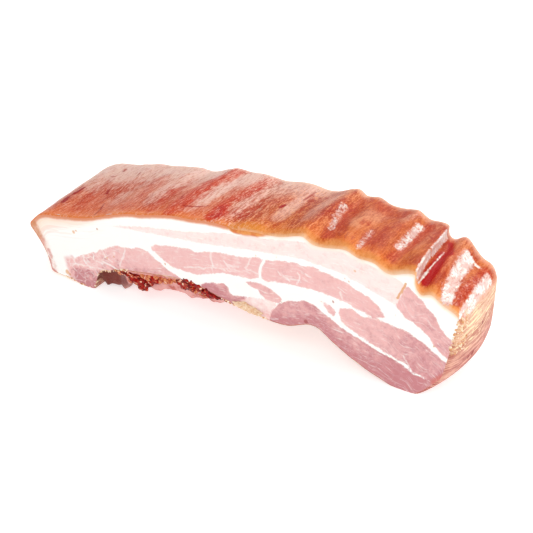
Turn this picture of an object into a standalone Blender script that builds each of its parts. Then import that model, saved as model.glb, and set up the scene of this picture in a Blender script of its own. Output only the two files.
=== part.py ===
"""A slab of smoked pork belly bacon with its rind on, lying rind side up.

The slab is one solid. It arches along its length, so it rests on a lump of lean near one end
and on the turned-under edge of the other, with a low gap between them. Its front is a flat
knife cut, and the rind on top has wrinkles that cross it from front to back and grow
towards the right-hand end. Sizes are in millimetres and are turned into metres at the end.
X runs along the slab, Y from the cut front to the back, and Z up from the table.
"""
import math

import bmesh
import bpy
import numpy as np
from mathutils import Vector, noise

NODE_NAME = "bacon_slab"
METRES_PER_MM = 0.001

# The front face, station by station along the slab: the rind's x and height there,
# and the x and height of the underside across the thickness from it.
STATIONS = (
    (-142.0, 33.0, -127.0, 2.5),
    (-132.0, 42.0, -119.5, 1.8),
    (-116.0, 45.5, -109.0, 1.0),
    (-98.0, 48.5, -95.5, -2.4),
    (-89.0, 51.5, -88.5, 4.5),
    (-78.0, 55.5, -78.5, 13.0),
    (-53.0, 62.5, -53.0, 22.5),
    (-21.5, 68.5, -20.5, 26.0),
    (12.5, 71.0, 14.5, 20.5),
    (46.0, 73.0, 44.0, 19.0),
    (71.0, 73.5, 62.5, 23.5),
    (89.0, 71.5, 75.5, 15.0),
    (103.0, 68.5, 88.0, 7.0),
    (116.0, 65.5, 101.0, 1.5),
    (127.5, 62.0, 116.0, -1.2),
    (137.5, 57.5, 128.0, 3.5),
    (144.0, 52.5, 137.5, 16.0),
)

# How deep the slab is from front to back, at shares of its length.
DEPTH_SHARES = (0.0, 0.3, 0.5, 0.75, 1.0)
DEPTHS = (92.0, 82.0, 76.0, 71.5, 63.0)

# Where the measured front face lies, so that the slab's box is centred over the origin.
SHIFT_X = 3.3
FRONT_Y = -45.7

# The wrinkles of the rind, left to right: x at the front and at the back, height at the front
# and at the back, and how far the wrinkle reaches to its left and to its right.
WRINKLES = (
    (-101.0, -98.0, 0.6, 1.4, 9.0, 7.0),
    (-62.0, -60.0, 0.6, 1.4, 10.0, 8.0),
    (-30.0, -32.0, 0.8, 2.8, 11.0, 9.0),
    (2.0, 4.0, 0.6, 1.4, 10.0, 8.0),
    (50.0, 54.0, 3.6, 5.2, 10.0, 4.0),
    (77.0, 69.0, 3.2, 2.6, 9.0, 6.0),
    (96.0, 91.5, 2.6, 4.6, 8.0, 4.0),
    (115.0, 110.5, 7.0, 5.4, 7.0, 2.2),
    (128.5, 126.0, 1.4, 4.2, 5.0, 3.5),
    (141.0, 140.0, 0.8, 2.4, 4.0, 3.0),
)

# Rounding where two sides meet, in the direction across each side.
LEFT_ROUNDING = 2.5
RIGHT_ROUNDING = 4.0
UNDER_ROUNDING = 3.0
RIND_ROUNDING = 3.0
FRONT_ROUNDING = 1.0
BACK_ROUNDING = 7.0

# The ends: the left one is hollow below its rind tip and slants back, the right one bulges.
LEFT_HOLLOW = 3.5
LEFT_SLANT = 0.14
RIGHT_BULGE = 6.0
RIGHT_SLANT_LOW = 0.05
RIGHT_SLANT_TOP = -0.02
END_REACH = 26.0

# The torn underside behind the front edge, where the ribs were pulled away.
TORN_FROM = -86.0
TORN_TO = 0.0
TORN_FADE = 14.0
TORN_DROP = 11.0
TORN_REACH = 7.0
TORN_ROUGHNESS = 1.6

# The back of the slab sags a little, and every outer side but the cut front is lumpy.
BACK_SAG = 2.0
LUMP_HEIGHT = 1.1
LUMP_SIZE = 24.0

# Grid of the solid: cells along, across the thickness and from front to back.
CELLS_ALONG = 74
CELLS_UP = 13
CELLS_DEEP = 17
CLOSER_TO_THE_RIGHT = 0.28
CLOSER_TO_THE_EDGES = 0.45

RIND_COLOUR = (0.60, 0.16, 0.05, 1.0)
RIND_ROUGHNESS = 0.35


def smooth_step(values, start, end):
    """A share that runs smoothly from 0 at start to 1 at end."""
    share = np.clip((values - start) / (end - start), 0.0, 1.0)
    return share * share * (3.0 - 2.0 * share)


def smooth_curve(knots, heights, at):
    """A smooth curve through the given knots, read at any places between them."""
    knots = np.asarray(knots, dtype=float)
    heights = np.asarray(heights, dtype=float)
    slopes = np.gradient(heights, knots)
    left = np.clip(np.searchsorted(knots, at) - 1, 0, len(knots) - 2)
    span = knots[left + 1] - knots[left]
    t = (at - knots[left]) / span
    from_heights = (1 + 2 * t) * (1 - t) ** 2 * heights[left] + t * t * (3 - 2 * t) * heights[left + 1]
    from_slopes = t * (1 - t) ** 2 * slopes[left] + t * t * (t - 1) * slopes[left + 1]
    return from_heights + span * from_slopes


def lumps(x, y, z, size, seed):
    """Smooth noise between about -1 and 1, with lumps of the given size."""
    offset = Vector((seed * 17.3, seed * 5.1, seed * 9.7))
    points = zip(x / size, y / size, z / size)
    return np.array([noise.noise(Vector(point) + offset) for point in points])


def wrinkle_height(x, deep_share):
    """Height that the wrinkles add to the rind."""
    height = np.zeros_like(x)
    for x_front, x_back, high_front, high_back, reach_left, reach_right in WRINKLES:
        crest = x_front + (x_back - x_front) * deep_share
        high = high_front + (high_back - high_front) * smooth_step(deep_share, 0.0, 0.6)
        reach = np.where(x < crest, reach_left, reach_right)
        height = height + high * np.exp(-((x - crest) / reach) ** 2)
    return height


def side_parts(share, size, low_rounding, high_rounding):
    """Split a place on one axis into the inner box's place, the rounding there, and the rest."""
    place = share * size
    inner = np.clip(place, low_rounding, size - high_rounding)
    rounding = np.where(place < inner, low_rounding, high_rounding)
    return inner, rounding, (place - inner) / rounding


def round_the_edges(along, up, deep, length, thickness, depth):
    """Move points on the box's sides onto rounded edges, still as shares of the box."""
    inner_a, round_a, out_a = side_parts(along, length, LEFT_ROUNDING, RIGHT_ROUNDING)
    inner_u, round_u, out_u = side_parts(up, thickness, UNDER_ROUNDING, RIND_ROUNDING)
    inner_d, round_d, out_d = side_parts(deep, depth, FRONT_ROUNDING, BACK_ROUNDING)
    reach = np.maximum(np.sqrt(out_a ** 2 + out_u ** 2 + out_d ** 2), 1e-6)
    new_along = (inner_a + round_a * out_a / reach) / length
    new_up = (inner_u + round_u * out_u / reach) / thickness
    new_deep = (inner_d + round_d * out_d / reach) / depth
    return new_along, new_up, new_deep


def slab_points(along, up, deep):
    """Where the slab's surface lies, for shares along, up and deep of the plain block."""
    rind_x, rind_z, under_x, under_z = (np.array(column) for column in zip(*STATIONS))
    length = rind_x[-1] - rind_x[0]
    knots = (rind_x - rind_x[0]) / length
    middle_thickness = np.interp(along, knots, np.hypot(rind_x - under_x, rind_z - under_z))
    depth = smooth_curve(DEPTH_SHARES, DEPTHS, along)
    along, up, deep = round_the_edges(along, up, deep, length, middle_thickness, depth)

    top_x = smooth_curve(knots, rind_x, along)
    top_z = smooth_curve(knots, rind_z, along)
    low_x = smooth_curve(knots, under_x, along)
    low_z = smooth_curve(knots, under_z, along)
    depth = smooth_curve(DEPTH_SHARES, DEPTHS, along)
    back = deep * depth

    # The torn underside hangs below the cut front edge, and the back sags a little
    in_torn_part = smooth_step(top_x, TORN_FROM, TORN_FROM + TORN_FADE)
    in_torn_part = in_torn_part * (1 - smooth_step(top_x, TORN_TO - TORN_FADE, TORN_TO))
    ragged = lumps(top_x, back, up * 20.0, 9.0, 3)
    drop = (TORN_DROP + TORN_ROUGHNESS * ragged) * in_torn_part * smooth_step(back, 0.0, TORN_REACH)
    low_z = low_z - drop
    top_z = top_z + wrinkle_height(top_x, deep) - BACK_SAG * deep ** 3

    x = low_x + (top_x - low_x) * up
    z = low_z + (top_z - low_z) * up

    # The two ends
    near_left = 1 - smooth_step(along * length, 0.0, END_REACH)
    near_right = 1 - smooth_step((1 - along) * length, 0.0, END_REACH)
    x = x + near_left * (LEFT_HOLLOW * np.sin(math.pi * up) - LEFT_SLANT * back)
    bulge = np.sin(math.pi * deep) * np.cos(0.5 * math.pi * up) ** 0.5
    slant = RIGHT_SLANT_LOW + (RIGHT_SLANT_TOP - RIGHT_SLANT_LOW) * up
    x = x + near_right * (RIGHT_BULGE * bulge + slant * back)

    # Lumps, none on the knife-cut front
    off_the_front = smooth_step(back, 0.0, 6.0)
    below_the_rind = 1 - smooth_step(up, 0.9, 1.0)
    lump = LUMP_HEIGHT * off_the_front * lumps(x, back, z, LUMP_SIZE, 1)
    x = x + lump * (near_right - near_left)
    z = z + lump * (2 * np.abs(up - 0.5)) * (0.4 + 0.6 * below_the_rind)
    back = back + LUMP_HEIGHT * deep * lumps(x, back, z, LUMP_SIZE, 2)

    # What would dip below the table is pressed flat on it
    z = np.maximum(z, 0.0)
    return np.column_stack((x + SHIFT_X, back + FRONT_Y, z))


def closer_cells(share, amount):
    """Shares that crowd towards both ends."""
    return share + amount * (0.5 - 0.5 * np.cos(math.pi * share) - share)


def make_block():
    """A cube from 0 to 1 each way, cut into the slab's grid of cells."""
    bm = bmesh.new()
    bmesh.ops.create_cube(bm, size=1.0)
    bmesh.ops.translate(bm, vec=(0.5, 0.5, 0.5), verts=bm.verts)
    for axis, cells in enumerate((CELLS_ALONG, CELLS_DEEP, CELLS_UP)):
        lines = []
        for edge in bm.edges:
            run = edge.verts[1].co - edge.verts[0].co
            if abs(run[axis]) > 0.5:
                lines.append(edge)
        bmesh.ops.subdivide_edges(bm, edges=lines, cuts=cells - 1, use_grid_fill=True)
    return bm


def make_slab():
    """The whole slab as one closed body."""
    bm = make_block()
    shares = np.array([vert.co for vert in bm.verts], dtype=float)
    along = shares[:, 0]
    along = along + CLOSER_TO_THE_RIGHT * along * (1 - along)
    deep = closer_cells(shares[:, 1], CLOSER_TO_THE_EDGES)
    up = closer_cells(shares[:, 2], CLOSER_TO_THE_EDGES)
    places = slab_points(along, up, deep) * METRES_PER_MM
    for vert, place in zip(bm.verts, places):
        vert.co = Vector(place)
    bmesh.ops.triangulate(bm, faces=bm.faces)
    bmesh.ops.recalc_face_normals(bm, faces=bm.faces)
    mesh = bpy.data.meshes.new(NODE_NAME)
    bm.to_mesh(mesh)
    bm.free()
    mesh.shade_smooth()
    return bpy.data.objects.new(NODE_NAME, mesh)


def make_rind_material():
    """One plain finish for the solid."""
    material = bpy.data.materials.new("smoked_rind")
    material.use_nodes = True
    shader = material.node_tree.nodes["Principled BSDF"]
    shader.inputs["Base Color"].default_value = RIND_COLOUR
    shader.inputs["Roughness"].default_value = RIND_ROUGHNESS
    shader.inputs["Metallic"].default_value = 0.0
    return material


def main():
    for old in list(bpy.data.objects):
        bpy.data.objects.remove(old, do_unlink=True)
    collection = bpy.data.collections.new("cured_bacon")
    bpy.context.scene.collection.children.link(collection)
    slab = make_slab()
    slab.data.materials.append(make_rind_material())
    collection.objects.link(slab)


main()
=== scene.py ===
"""The finish of a slab of smoked pork belly bacon: rind, marbled cut face, smoked sides.

The CAD solid gives the size and place. The slab is made again here as one fine mesh from the
same named sizes, in millimetres, and facts such as the distance to lean or to a crease are
stored on its points, so that the materials draw the marbling and the rind from them.
X runs along the slab, Y from the cut front to the back, and Z up from the table.
"""
import math
import random

import bmesh
import bpy
import numpy as np
from mathutils import Matrix, Vector, noise


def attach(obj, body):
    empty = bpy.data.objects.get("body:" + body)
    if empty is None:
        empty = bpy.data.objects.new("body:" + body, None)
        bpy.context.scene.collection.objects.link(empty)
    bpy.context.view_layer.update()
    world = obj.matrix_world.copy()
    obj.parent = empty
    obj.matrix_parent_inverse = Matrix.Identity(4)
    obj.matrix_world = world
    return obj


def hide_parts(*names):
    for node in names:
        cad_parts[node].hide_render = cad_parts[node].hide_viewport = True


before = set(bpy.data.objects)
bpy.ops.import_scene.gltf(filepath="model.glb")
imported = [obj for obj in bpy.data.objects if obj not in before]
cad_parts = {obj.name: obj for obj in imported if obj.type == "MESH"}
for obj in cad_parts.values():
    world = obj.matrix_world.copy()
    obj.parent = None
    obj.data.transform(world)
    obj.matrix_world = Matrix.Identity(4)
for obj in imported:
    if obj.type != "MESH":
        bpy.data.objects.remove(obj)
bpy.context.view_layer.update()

METRES_PER_MM = 0.001

# The front face, station by station along the slab: the rind's x and height there,
# and the x and height of the underside across the thickness from it.
STATIONS = (
    (-142, 33, -127, 2.5),
    (-132, 42, -119.5, 1.8),
    (-116, 45.5, -109, 1),
    (-98, 48.5, -95.5, -2.4),
    (-93, 50.1, -92, 0.5),
    (-89.5, 51.3, -89, 9),
    (-78, 55.5, -78.5, 16.2),
    (-53, 62.5, -53, 22.5),
    (-21.5, 68.5, -20.5, 26),
    (12.5, 71, 14.5, 19.4),
    (46, 73, 44, 17.2),
    (71, 73.5, 62.5, 22.4),
    (89, 71.5, 75.5, 14.6),
    (103, 68.5, 88, 7.8),
    (116, 65.5, 101, 2.6),
    (127.5, 62, 116, -1.2),
    (137.5, 57.5, 126.3, 3),
    (144, 52.5, 138.2, 17),
)

# How deep the slab is from front to back, at shares of its length.
DEPTH_SHARES = (0, 0.3, 0.5, 0.75, 1)
DEPTHS = (92, 82, 76, 71.5, 63)

# Where the measured front face lies, so that the slab's box is centred over the origin.
SHIFT_X = 3.3
FRONT_Y = -45.7

# The wrinkles of the rind, left to right: x at the front and at the back, height at the front
# and at the back, and how far the wrinkle reaches to its left and to its right.
WRINKLES = (
    (-101, -98, 0.6, 1.6, 12, 7),
    (-62, -61, 0.7, 1.6, 13, 7),
    (-31, -33, 0.9, 2.6, 12, 8),
    (-1, 1, 0.8, 1, 12, 6),
    (25, 25, 0.8, 1.2, 9, 6),
    (53.5, 53, 3.8, 5, 10, 4.5),
    (79, 66.5, 3, 3, 9, 5.5),
    (95, 91, 2.6, 3.6, 9, 5),
    (115.2, 108.8, 7, 5.6, 7.5, 2.6),
    (122.2, 116.4, -2.4, -1.2, 2.8, 3.2),
    (127, 122, 1.8, 3.6, 5.5, 4.5),
    (141.5, 139, 1.2, 1.6, 4, 3),
)

# How much the back of the rind stands above the front's line, along the slab.
BACK_RISE = (
    (-142, -0.5), (-128, 1), (-112, 3.4), (-85, 3.2), (-70, 1), (-52, -1.5), (-30, -0.5), (-12, 0.5),
    (3, -1.2), (12, 0.4), (28, -0.8), (42, -1.2), (60, -1), (78, -0.4), (88, -0.6), (96, 1.6),
    (103, 0.4), (111, -1.4), (120, 0), (126, 1), (133, -2), (144, -2),
)

# How far the rind curls down over the cut face, along the slab, and from how far back
CURL_REACH = 5.5
FRONT_CURL = (
    (-142, 0), (8, 0), (16, 1.5), (30, 1.6), (40, 2.2), (60, 2.4), (80, 2.2), (104, 2.2), (118, 1.6),
    (130, 2.2), (144, 1.5),
)

# Rounding at the left and the right end, the underside and the rind, the front and the back.
ROUNDINGS = ((2.5, 4), (3, 3), (1, 7))

# The ends: the left one is hollow below its rind tip and slants back, the right one bulges.
LEFT_HOLLOW = 3.5
LEFT_SLANT = 0.14
RIGHT_BULGE = 5
RIGHT_SAG = 3.5
RIGHT_SLANT_LOW = 0.05
RIGHT_SLANT_TOP = -0.02
END_REACH = 26

# How far the torn underside hangs below the cut front edge, where the ribs were pulled away.
TORN_DROP = (
    (-90, 0), (-76, 0.5), (-71, 8), (-64, 12.5), (-55, 13.5), (-45, 14), (-36, 14), (-26, 14),
    (-16, 12.5), (-8, 10), (-2, 6.5), (5, 3), (11, 0),
)

# Behind the hollow beside the foot the underside comes down again, along the slab
HOLLOW_DROP = ((-92, 0), (-88, 12), (-74, 13), (-68, 0))
HOLLOW_BACK = 8

# The torn underside: how far back it hangs at its full depth, its coarse and its fine lumps,
# and the thickness that their noise counts the slab as
TORN_REACH = 7
RAGGED_HEIGHT = 1.6
RAGGED_SIZE = 9
FRAYED_HEIGHT = 1.4
FRAYED_SIZE = 3.6
NOISE_THICKNESS = 20

# The back of the slab sags a little, and every outer side but the cut front is lumpy.
BACK_SAG = 2
LUMP_HEIGHT = 1.1
LUMP_SIZE = 24

# Fine relief that only this mesh has. The fold is the one wrinkle higher than FOLD_HEIGHT, and
# it leans right. The lip grows and fades between two places along the slab.
FOLD_HEIGHT = 5
FOLD_LEAN = 2.4
STRIA_HEIGHT = 0.1
DENT_HEIGHT = 0.28
DENT_SIZE = 6.5
LIP_REACH = 1.1
LIP_START = (8, 12)
LIP_END = (26, 34)

# The marbling: half the width of a thread of fat, and how the layers and threads wander
THREAD_REACH = 1
WAVE_HEIGHT = 3
WAVE_SIZE = 22
WOBBLE_HEIGHT = 1.6
WOBBLE_SIZE = 5

# Grid of the fine mesh
CELLS_ALONG = 380
CELLS_UP = 56
CELLS_DEEP = 64
CLOSER_TO_THE_RIGHT = 0.18
CLOSER_TO_THE_EDGES = 0.45

# Lean on the cut face: how dark it is, and its outline as x and height in the front plane
LEAN = (
    # The pale streak below the rind
    (0.04, (-70, 49.4), (-58, 52.6), (-42, 55.8), (-14, 60.3), (8, 65.5), (38, 70.2), (56, 73.2),
        (79, 74.3), (96, 70.8), (110, 67.3), (117, 64), (113.4, 53), (111, 51.9), (97, 56.1),
        (80, 61.4), (56, 63), (38, 61.3), (-8, 55), (-42, 52.1), (-60, 50.2)),
    # Its darker end on the right
    (0.34, (114.2, 60), (117.5, 64.6), (120.5, 62), (126, 58.6), (129, 55.2), (134, 50.9),
        (136.5, 45.7), (144, 38.6), (150, 30), (141.5, 28.5), (134.3, 34.6), (131, 39), (125.4, 42.6),
        (117.4, 46.1), (112, 51.2)),
    # The left belly muscle
    (0.40, (-111, 16), (-104.8, 19.2), (-102.6, 18.4), (-98, 21.2), (-95.2, 23), (-93, 23.6),
        (-88, 27.1), (-84.5, 27), (-81.6, 30.2), (-78, 31.6), (-74, 34), (-68.7, 36.3), (-62.7, 36.9),
        (-57, 38), (-51.4, 39.7), (-45, 38.8), (-41, 36.4), (-36.6, 33.9), (-30, 30), (-25, 28.6),
        (-21, 26.6), (-18, 14), (-60, -8), (-106, -8), (-109.5, 8)),
    # The middle belly muscle
    (0.42, (-42, 41), (-42.4, 43.2), (-39.5, 45.6), (-36, 45.4), (-29, 47.4), (-22.4, 48.1), (-16, 49),
        (-10, 48.2), (-1.2, 51.2), (4, 52.4), (10.8, 52.8), (18.6, 53.8), (25, 54.6), (29, 56.4),
        (33.6, 56.2), (31, 43.6), (24.9, 41.5), (18.4, 40.7), (9.2, 40), (1.7, 38.3), (-3.1, 36),
        (-8.6, 34.2), (-14, 33.2), (-20, 33.2), (-26, 33.5), (-33, 36), (-38, 38.6)),
    # The right belly muscle
    (0.46, (33.6, 55.8), (39.6, 57.4), (45, 58.3), (51, 59.5), (57, 59.2), (64, 60.4), (70, 59),
        (77, 57.8), (85, 56), (91, 53.4), (97, 51), (102, 48), (107.6, 42), (102, 40.7), (90, 42.4),
        (84, 44.4), (77, 45.4), (68, 46.4), (60, 45.8), (52.7, 45.6), (43, 44.8), (36, 43.2),
        (31.6, 43.7)),
    # The end muscle
    (0.50, (80.2, 37), (80.6, 39.8), (84, 41.4), (88, 41.6), (91, 39.6), (94.2, 38), (99.3, 39.6),
        (109.6, 39.4), (118, 37.9), (126.5, 34.9), (135.9, 29.2), (142.5, 24.5), (150, 18), (150, 8),
        (136, 10.8), (124.5, 14.4), (120, 17.6), (109.7, 20.4), (95.5, 25), (88, 28.2), (82, 31.4)),
    # A small wedge beside it
    (0.50, (68.8, 40.8), (72, 40.2), (76, 38.4), (78.6, 36), (77.4, 33.4), (74.4, 34.6)),
    # The darkest strip along the lower edge
    (0.74, (38.5, 25), (42, 29.6), (47.2, 33.1), (54, 35.6), (59.6, 37.6), (64.5, 37.3), (71.9, 33.2),
        (78, 29.8), (83, 27.4), (89.5, 24.8), (95.5, 23.3), (105.6, 19.4), (110, 18.9), (118, 16.3),
        (124.5, 13), (136, 11.2), (150, 8), (140, -12), (90, -12), (60, 8), (40, 8), (37, 17)),
    # A pink patch in the fat
    (0.56, (21.5, 38.2), (28.8, 40.2), (35.4, 39.3), (40.9, 37.2), (44.9, 34.3), (43.5, 31.6),
        (40.6, 31.2), (35, 31.2), (32.6, 32.2), (30.1, 35.6), (25, 36.8)),
    # A pinkish cream patch below it
    (0.10, (20, 26.6), (24.5, 29.5), (32.6, 30.4), (38.6, 30.8), (42.6, 30.4), (39.6, 24.6), (37, 17),
        (30, 8), (15, 8), (15, 21)),
    # A purple patch at the lower edge
    (0.72, (-8, 27.5), (-5.4, 29.6), (0.2, 31.4), (7.7, 32.9), (10.4, 31), (11.6, 27.6), (13.6, 26.6),
        (18.9, 28.4), (23.6, 29.2), (20.5, 25.5), (16.5, 21), (14, 12), (-8, 16)),
    # The lump that the slab stands on
    (0.88, (-105.2, 6.5), (-103.6, 11.2), (-97.3, 14.3), (-91, 14.7), (-87, 13.6), (-85.4, 6),
        (-88, -6), (-104, -6)),
)

# Thin white lines of fat in the lean: strength, half width, and x and height along the line
SEPTA = (
    (0.8, 0.8, (34, 59), (34, 55.3), (32, 51.6), (31.1, 48.1), (31.6, 41.5)),
    (0.45, 0.8, (-80.2, 22.4), (-73.2, 21.1), (-67.3, 18.6)),
)

# Finer threads of fat, as x and height along each
THREADS = (
    ((-0.1, 53.5), (-0.6, 48.7), (0, 44.9), (0.2, 39)),
    ((31.2, 46.6), (25, 46.9), (18.5, 44), (13.2, 42.8), (8, 41.4)),
    ((-4.9, 39.6), (1.2, 41.7), (6.6, 42.3), (13.3, 45.8), (18.5, 47.4)),
    ((-18.8, 36.2), (-15.3, 36.9), (-10.4, 38.6), (-4.9, 39.2)),
    ((7.4, 48.3), (10.7, 46.1), (14.6, 45.9)),
    ((21.8, 47.3), (24.4, 51.9), (26.4, 55.6)),
    ((42.7, 51.6), (46.5, 49.5), (49.8, 47)),
    ((54.4, 53.7), (55.7, 51.6), (54.9, 47.5)),
    ((59.8, 54.7), (62.9, 53.8)),
    ((79.7, 49.5), (82.1, 46)),
    ((-102.2, 19.6), (-103.5, 16), (-100.6, 13.2)),
    ((-94.7, 22.8), (-94.5, 17.8), (-91, 14.6)),
    ((-88.1, 26), (-86.2, 21.6), (-80.1, 21.3)),
    ((-80.6, 30.9), (-77.3, 25.6), (-72.9, 24)),
    ((-107.1, 12.8), (-97.3, 15.2), (-89.3, 15.4), (-79.9, 16.6)),
    ((-62, 37.6), (-63.2, 31), (-66.9, 22.9)),
    ((118.6, 22.2), (120.6, 18.6), (123.2, 14.5)),
)

# Small spots on the cut face: x, height, radius, and which colour, 0 brown and 1 dark red
FLECKS = (
    (-101.2, 37.2, 1.4, 0), (-99.2, 38.6, 0.9, 0), (-82.2, 44.2, 0.9, 0.6), (-33, 34.1, 0.8, 0.5),
    (28.9, 57.6, 0.7, 0.1), (41.7, 60, 0.7, 0.1), (76.4, 42.3, 1, 0.8), (112, 45, 0.9, 0.6),
    (88.2, 64.9, 0.9, 0), (82.7, 59.1, 0.7, 0.5), (85.1, 57.9, 0.7, 0.5), (134.3, 34, 0.8, 0.5),
    (-76.5, 25.8, 0.9, 0), (-71, 28.1, 0.8, 0.2), (60.5, 24.6, 1.6, 1), (-110.3, 6.2, 2, 0),
    (-108.2, 5, 1.2, 0.3),
)

# Stains on the cut face, as brush strokes: a fibre of meat, and the pink rims of both ends
FIBRES = (
    (1, 0.7, (116.4, 65.6), (114.4, 60.6), (112.4, 55.8)),
    (0.6, 0.5, (114.4, 60.6), (116.8, 57.6)),
)
STAINS = (
    (1, 2.6, (-138.8, 33), (-134.5, 34.8)),
    (0.4, 4, (-126, 12), (-122, 5)),
    (0.75, 3.4, (-138, 33.5), (-134.5, 32), (-133, 27.5), (-131.5, 24)),
    (0.5, 1.8, (-131.5, 24), (-129, 18)),
    (0.7, 1.9, (-127, 18), (-125, 14)),
    (0.9, 1.5, (-126.4, 11), (-124.8, 5.5), (-119.5, 2.4)),
    (0.85, 2.4, (136.5, 11.5), (142, 18), (146, 27)),
)

# How far the rind's cut edge reaches down the cut face, along the slab
RIND_BAND = (
    (-150, 2.7), (8, 2.7), (12, 2.4), (15, 3.4), (22, 4), (30, 3.4), (36, 1.2), (40, 0.7), (112, 0.8),
    (118, 1.3), (130, 1.6), (150, 1.2),
)

# The rind seen from above, as brush strokes: strength, half width, and x and Y along the line
# Where the rind is wet and glossy, with a painted highlight of glare laid over its colour
WET_WITH_PAINTED_GLARE = (
    (0.72, 2.4, (60, -1), (61.9, -13), (66.2, -30)),
    (0.62, 2, (85.5, -20), (86.4, -33), (87, -41)),
    (0.8, 2.8, (102.4, 7), (102.8, -8), (103.1, -25)),
    (0.45, 2.6, (97, 16), (94.5, 4)),
    (0.9, 0.85, (116.1, 12), (116.5, 4), (117.6, -9), (118.5, -18)),
    (0.95, 0.75, (118.6, -20), (119.5, -29), (120.2, -37), (120.8, -44)),
    (0.95, 0.55, (120.7, -3), (121.2, -15), (121.6, -26), (121.8, -35), (122, -43)),
    (1, 3.6, (132.4, 4), (133.2, -9), (134.6, -24), (135.6, -33), (137.2, -42)),
    (0.9, 1.6, (134.2, 5), (138.6, 4)),
    (0.4, 2.6, (141.3, -8), (141.4, -22), (140.7, -40)),
    (1, 2.2, (144.4, 4), (145.4, -13), (146, -27), (146, -37), (146.6, -44)),
    (0.9, 0.6, (-115.5, -44.2), (-111.5, -44.2)),
    (0.9, 0.6, (-74.6, -44.6), (-71, -44.6)),
)

# Painted sheen: paler bands of the rind on the slopes that face right, where a highlight would lie
PAINTED_SHEEN = (
    (0.85, 3.5, (-146, 38), (-139.5, 10), (-134.5, -20), (-132, -44)),
    (0.6, 7, (-122, 24), (-119, -2)),
    (0.45, 5, (-92, 28), (-88, -8), (-85, -30)),
    (0.75, 6, (-50.8, 27), (-56, 6), (-55.2, -16), (-53, -30)),
    (0.75, 5.6, (-13.5, 22), (-17.5, 4), (-21, -20), (-21, -36)),
    (0.6, 5, (12, 20), (6, 1), (4.9, -22), (6.3, -32)),
    (0.65, 4.6, (31.8, 20), (32.3, 2), (33.2, -18), (33.4, -30)),
    (0.55, 4.6, (47.6, 12), (50.3, -18), (52, -30)),
    (0.5, 5.5, (80, 2), (74, -20)),
    (0.4, 3, (97, 19), (94, 0)),
    (0.4, 3, (110, 14), (110, -20)),
    (0.3, 2.5, (127.5, 14), (128.5, -18)),
)
# Red in the creases and valleys, partly the rind's own red and partly painted shade
DEEP_RED = (
    (1.1, 3.7, (122.2, -6), (123.3, -18), (123.8, -28), (123.6, -38)),
    (1.05, 2, (119.5, 9), (123.4, -2), (126, -9)),
    (0.6, 4.5, (66.5, 16), (65, 0), (67, -20), (69, -37)),
    (0.65, 2.6, (68, -34), (67, -39)),
    (0.45, 2.6, (80.5, -14), (79, -18)),
    (0.45, 4, (92, -4), (88.5, -34)),
    (0.6, 3, (106.5, 10), (107, -20), (104, -36)),
    (0.75, 2.8, (142.5, 6), (142.5, -20), (141, -40)),
    (0.85, 5, (-4, -27), (-2, -40)),
    (0.45, 5, (2, 22), (-0.5, 10), (-2, -5), (-5.5, -22)),
    (0.55, 6, (-24.5, 24), (-26.8, 12), (-30.7, -6), (-31.3, -24), (-29.7, -41)),
    (0.35, 4, (-49, -10), (-46, -40)),
    (0.3, 6, (-72, 10), (-68, -34)),
    (0.25, 8, (-110, 0), (-106, -32)),
    (0.4, 4.6, (24, -4), (17, -18), (14.3, -33)),
    (0.25, 3.2, (37.2, 8), (41.3, -15), (44.5, -34)),
    (0.2, 5, (70, 12), (78, 14), (86, 6)),
)
DARK_CUTS = (
    (1, 1.3, (-126.4, -4), (-126.2, -14)),
    (1, 1.5, (-127, -19), (-124.2, -27)),
    (0.6, 1, (-104.6, -5), (-101.8, -11)),
    (0.5, 1.2, (-117, 29), (-116, 25)),
    (0.45, 1, (-120, 16), (-116.5, 16)),
    (0.4, 1, (-97.5, 20), (-96, 15)),
    (0.3, 1, (-73, 8), (-71.5, 4)),
    (0.5, 0.8, (-27, -33.6), (-21.5, -31.8), (-14, -27.6)),
    (0.5, 0.8, (-92.5, -25), (-88, -34), (-85.5, -43)),
    (0.7, 1.3, (28.6, -13.5), (28.2, -17)),
    (0.4, 1.2, (43, 11), (44.6, 8)),
    (0.45, 0.8, (33.3, 16), (33.6, 0)),
    (0.5, 0.8, (110.5, -1.5), (114.6, -6)),
    (0.4, 1, (-36.5, -20), (-35, -24)),
    (0.35, 1.2, (131, 8), (131.6, 6)),
    (0.4, 0.9, (72, -33), (74, -36)),
    (0.4, 0.8, (10.6, -32), (11.4, -40)),
)

# Dark red spots on the right end, each with its radius
END_SPOTS = (
    (147.7, -21.1, 19.6, 1.7), (147, -26, 19.4, 1.1), (148.9, -13.8, 34.9, 1.3),
)

# The front edge of the rind, along the slab: how far the amber reaches back, and the cream
FRONT_EDGE = (
    (-140, 6, 0), (-124, 22, 0), (-110, 34, 0), (-92, 30, 0), (-78, 22, 0), (-66, 26, 0), (-53, 14, 0),
    (-40, 28, 0), (-26, 10, 0), (-10, 24, 0), (3, 10, 0), (10, 14, 0), (20, 16, 0), (31, 12, 0),
    (35, 12, 0.6), (39, 20, 1.6), (45, 17, 1.2), (52, 15, 1), (58, 20, 1.6), (64, 18, 1.4), (70, 15, 1),
    (78, 20, 1.2), (92, 17, 1), (102, 16, 1.2), (112, 12, 2.2), (118, 7, 1.5), (124, 8, 0.8),
    (130, 9, 1.2), (138, 7, 1.8), (147, 5, 1.2),
)

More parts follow.
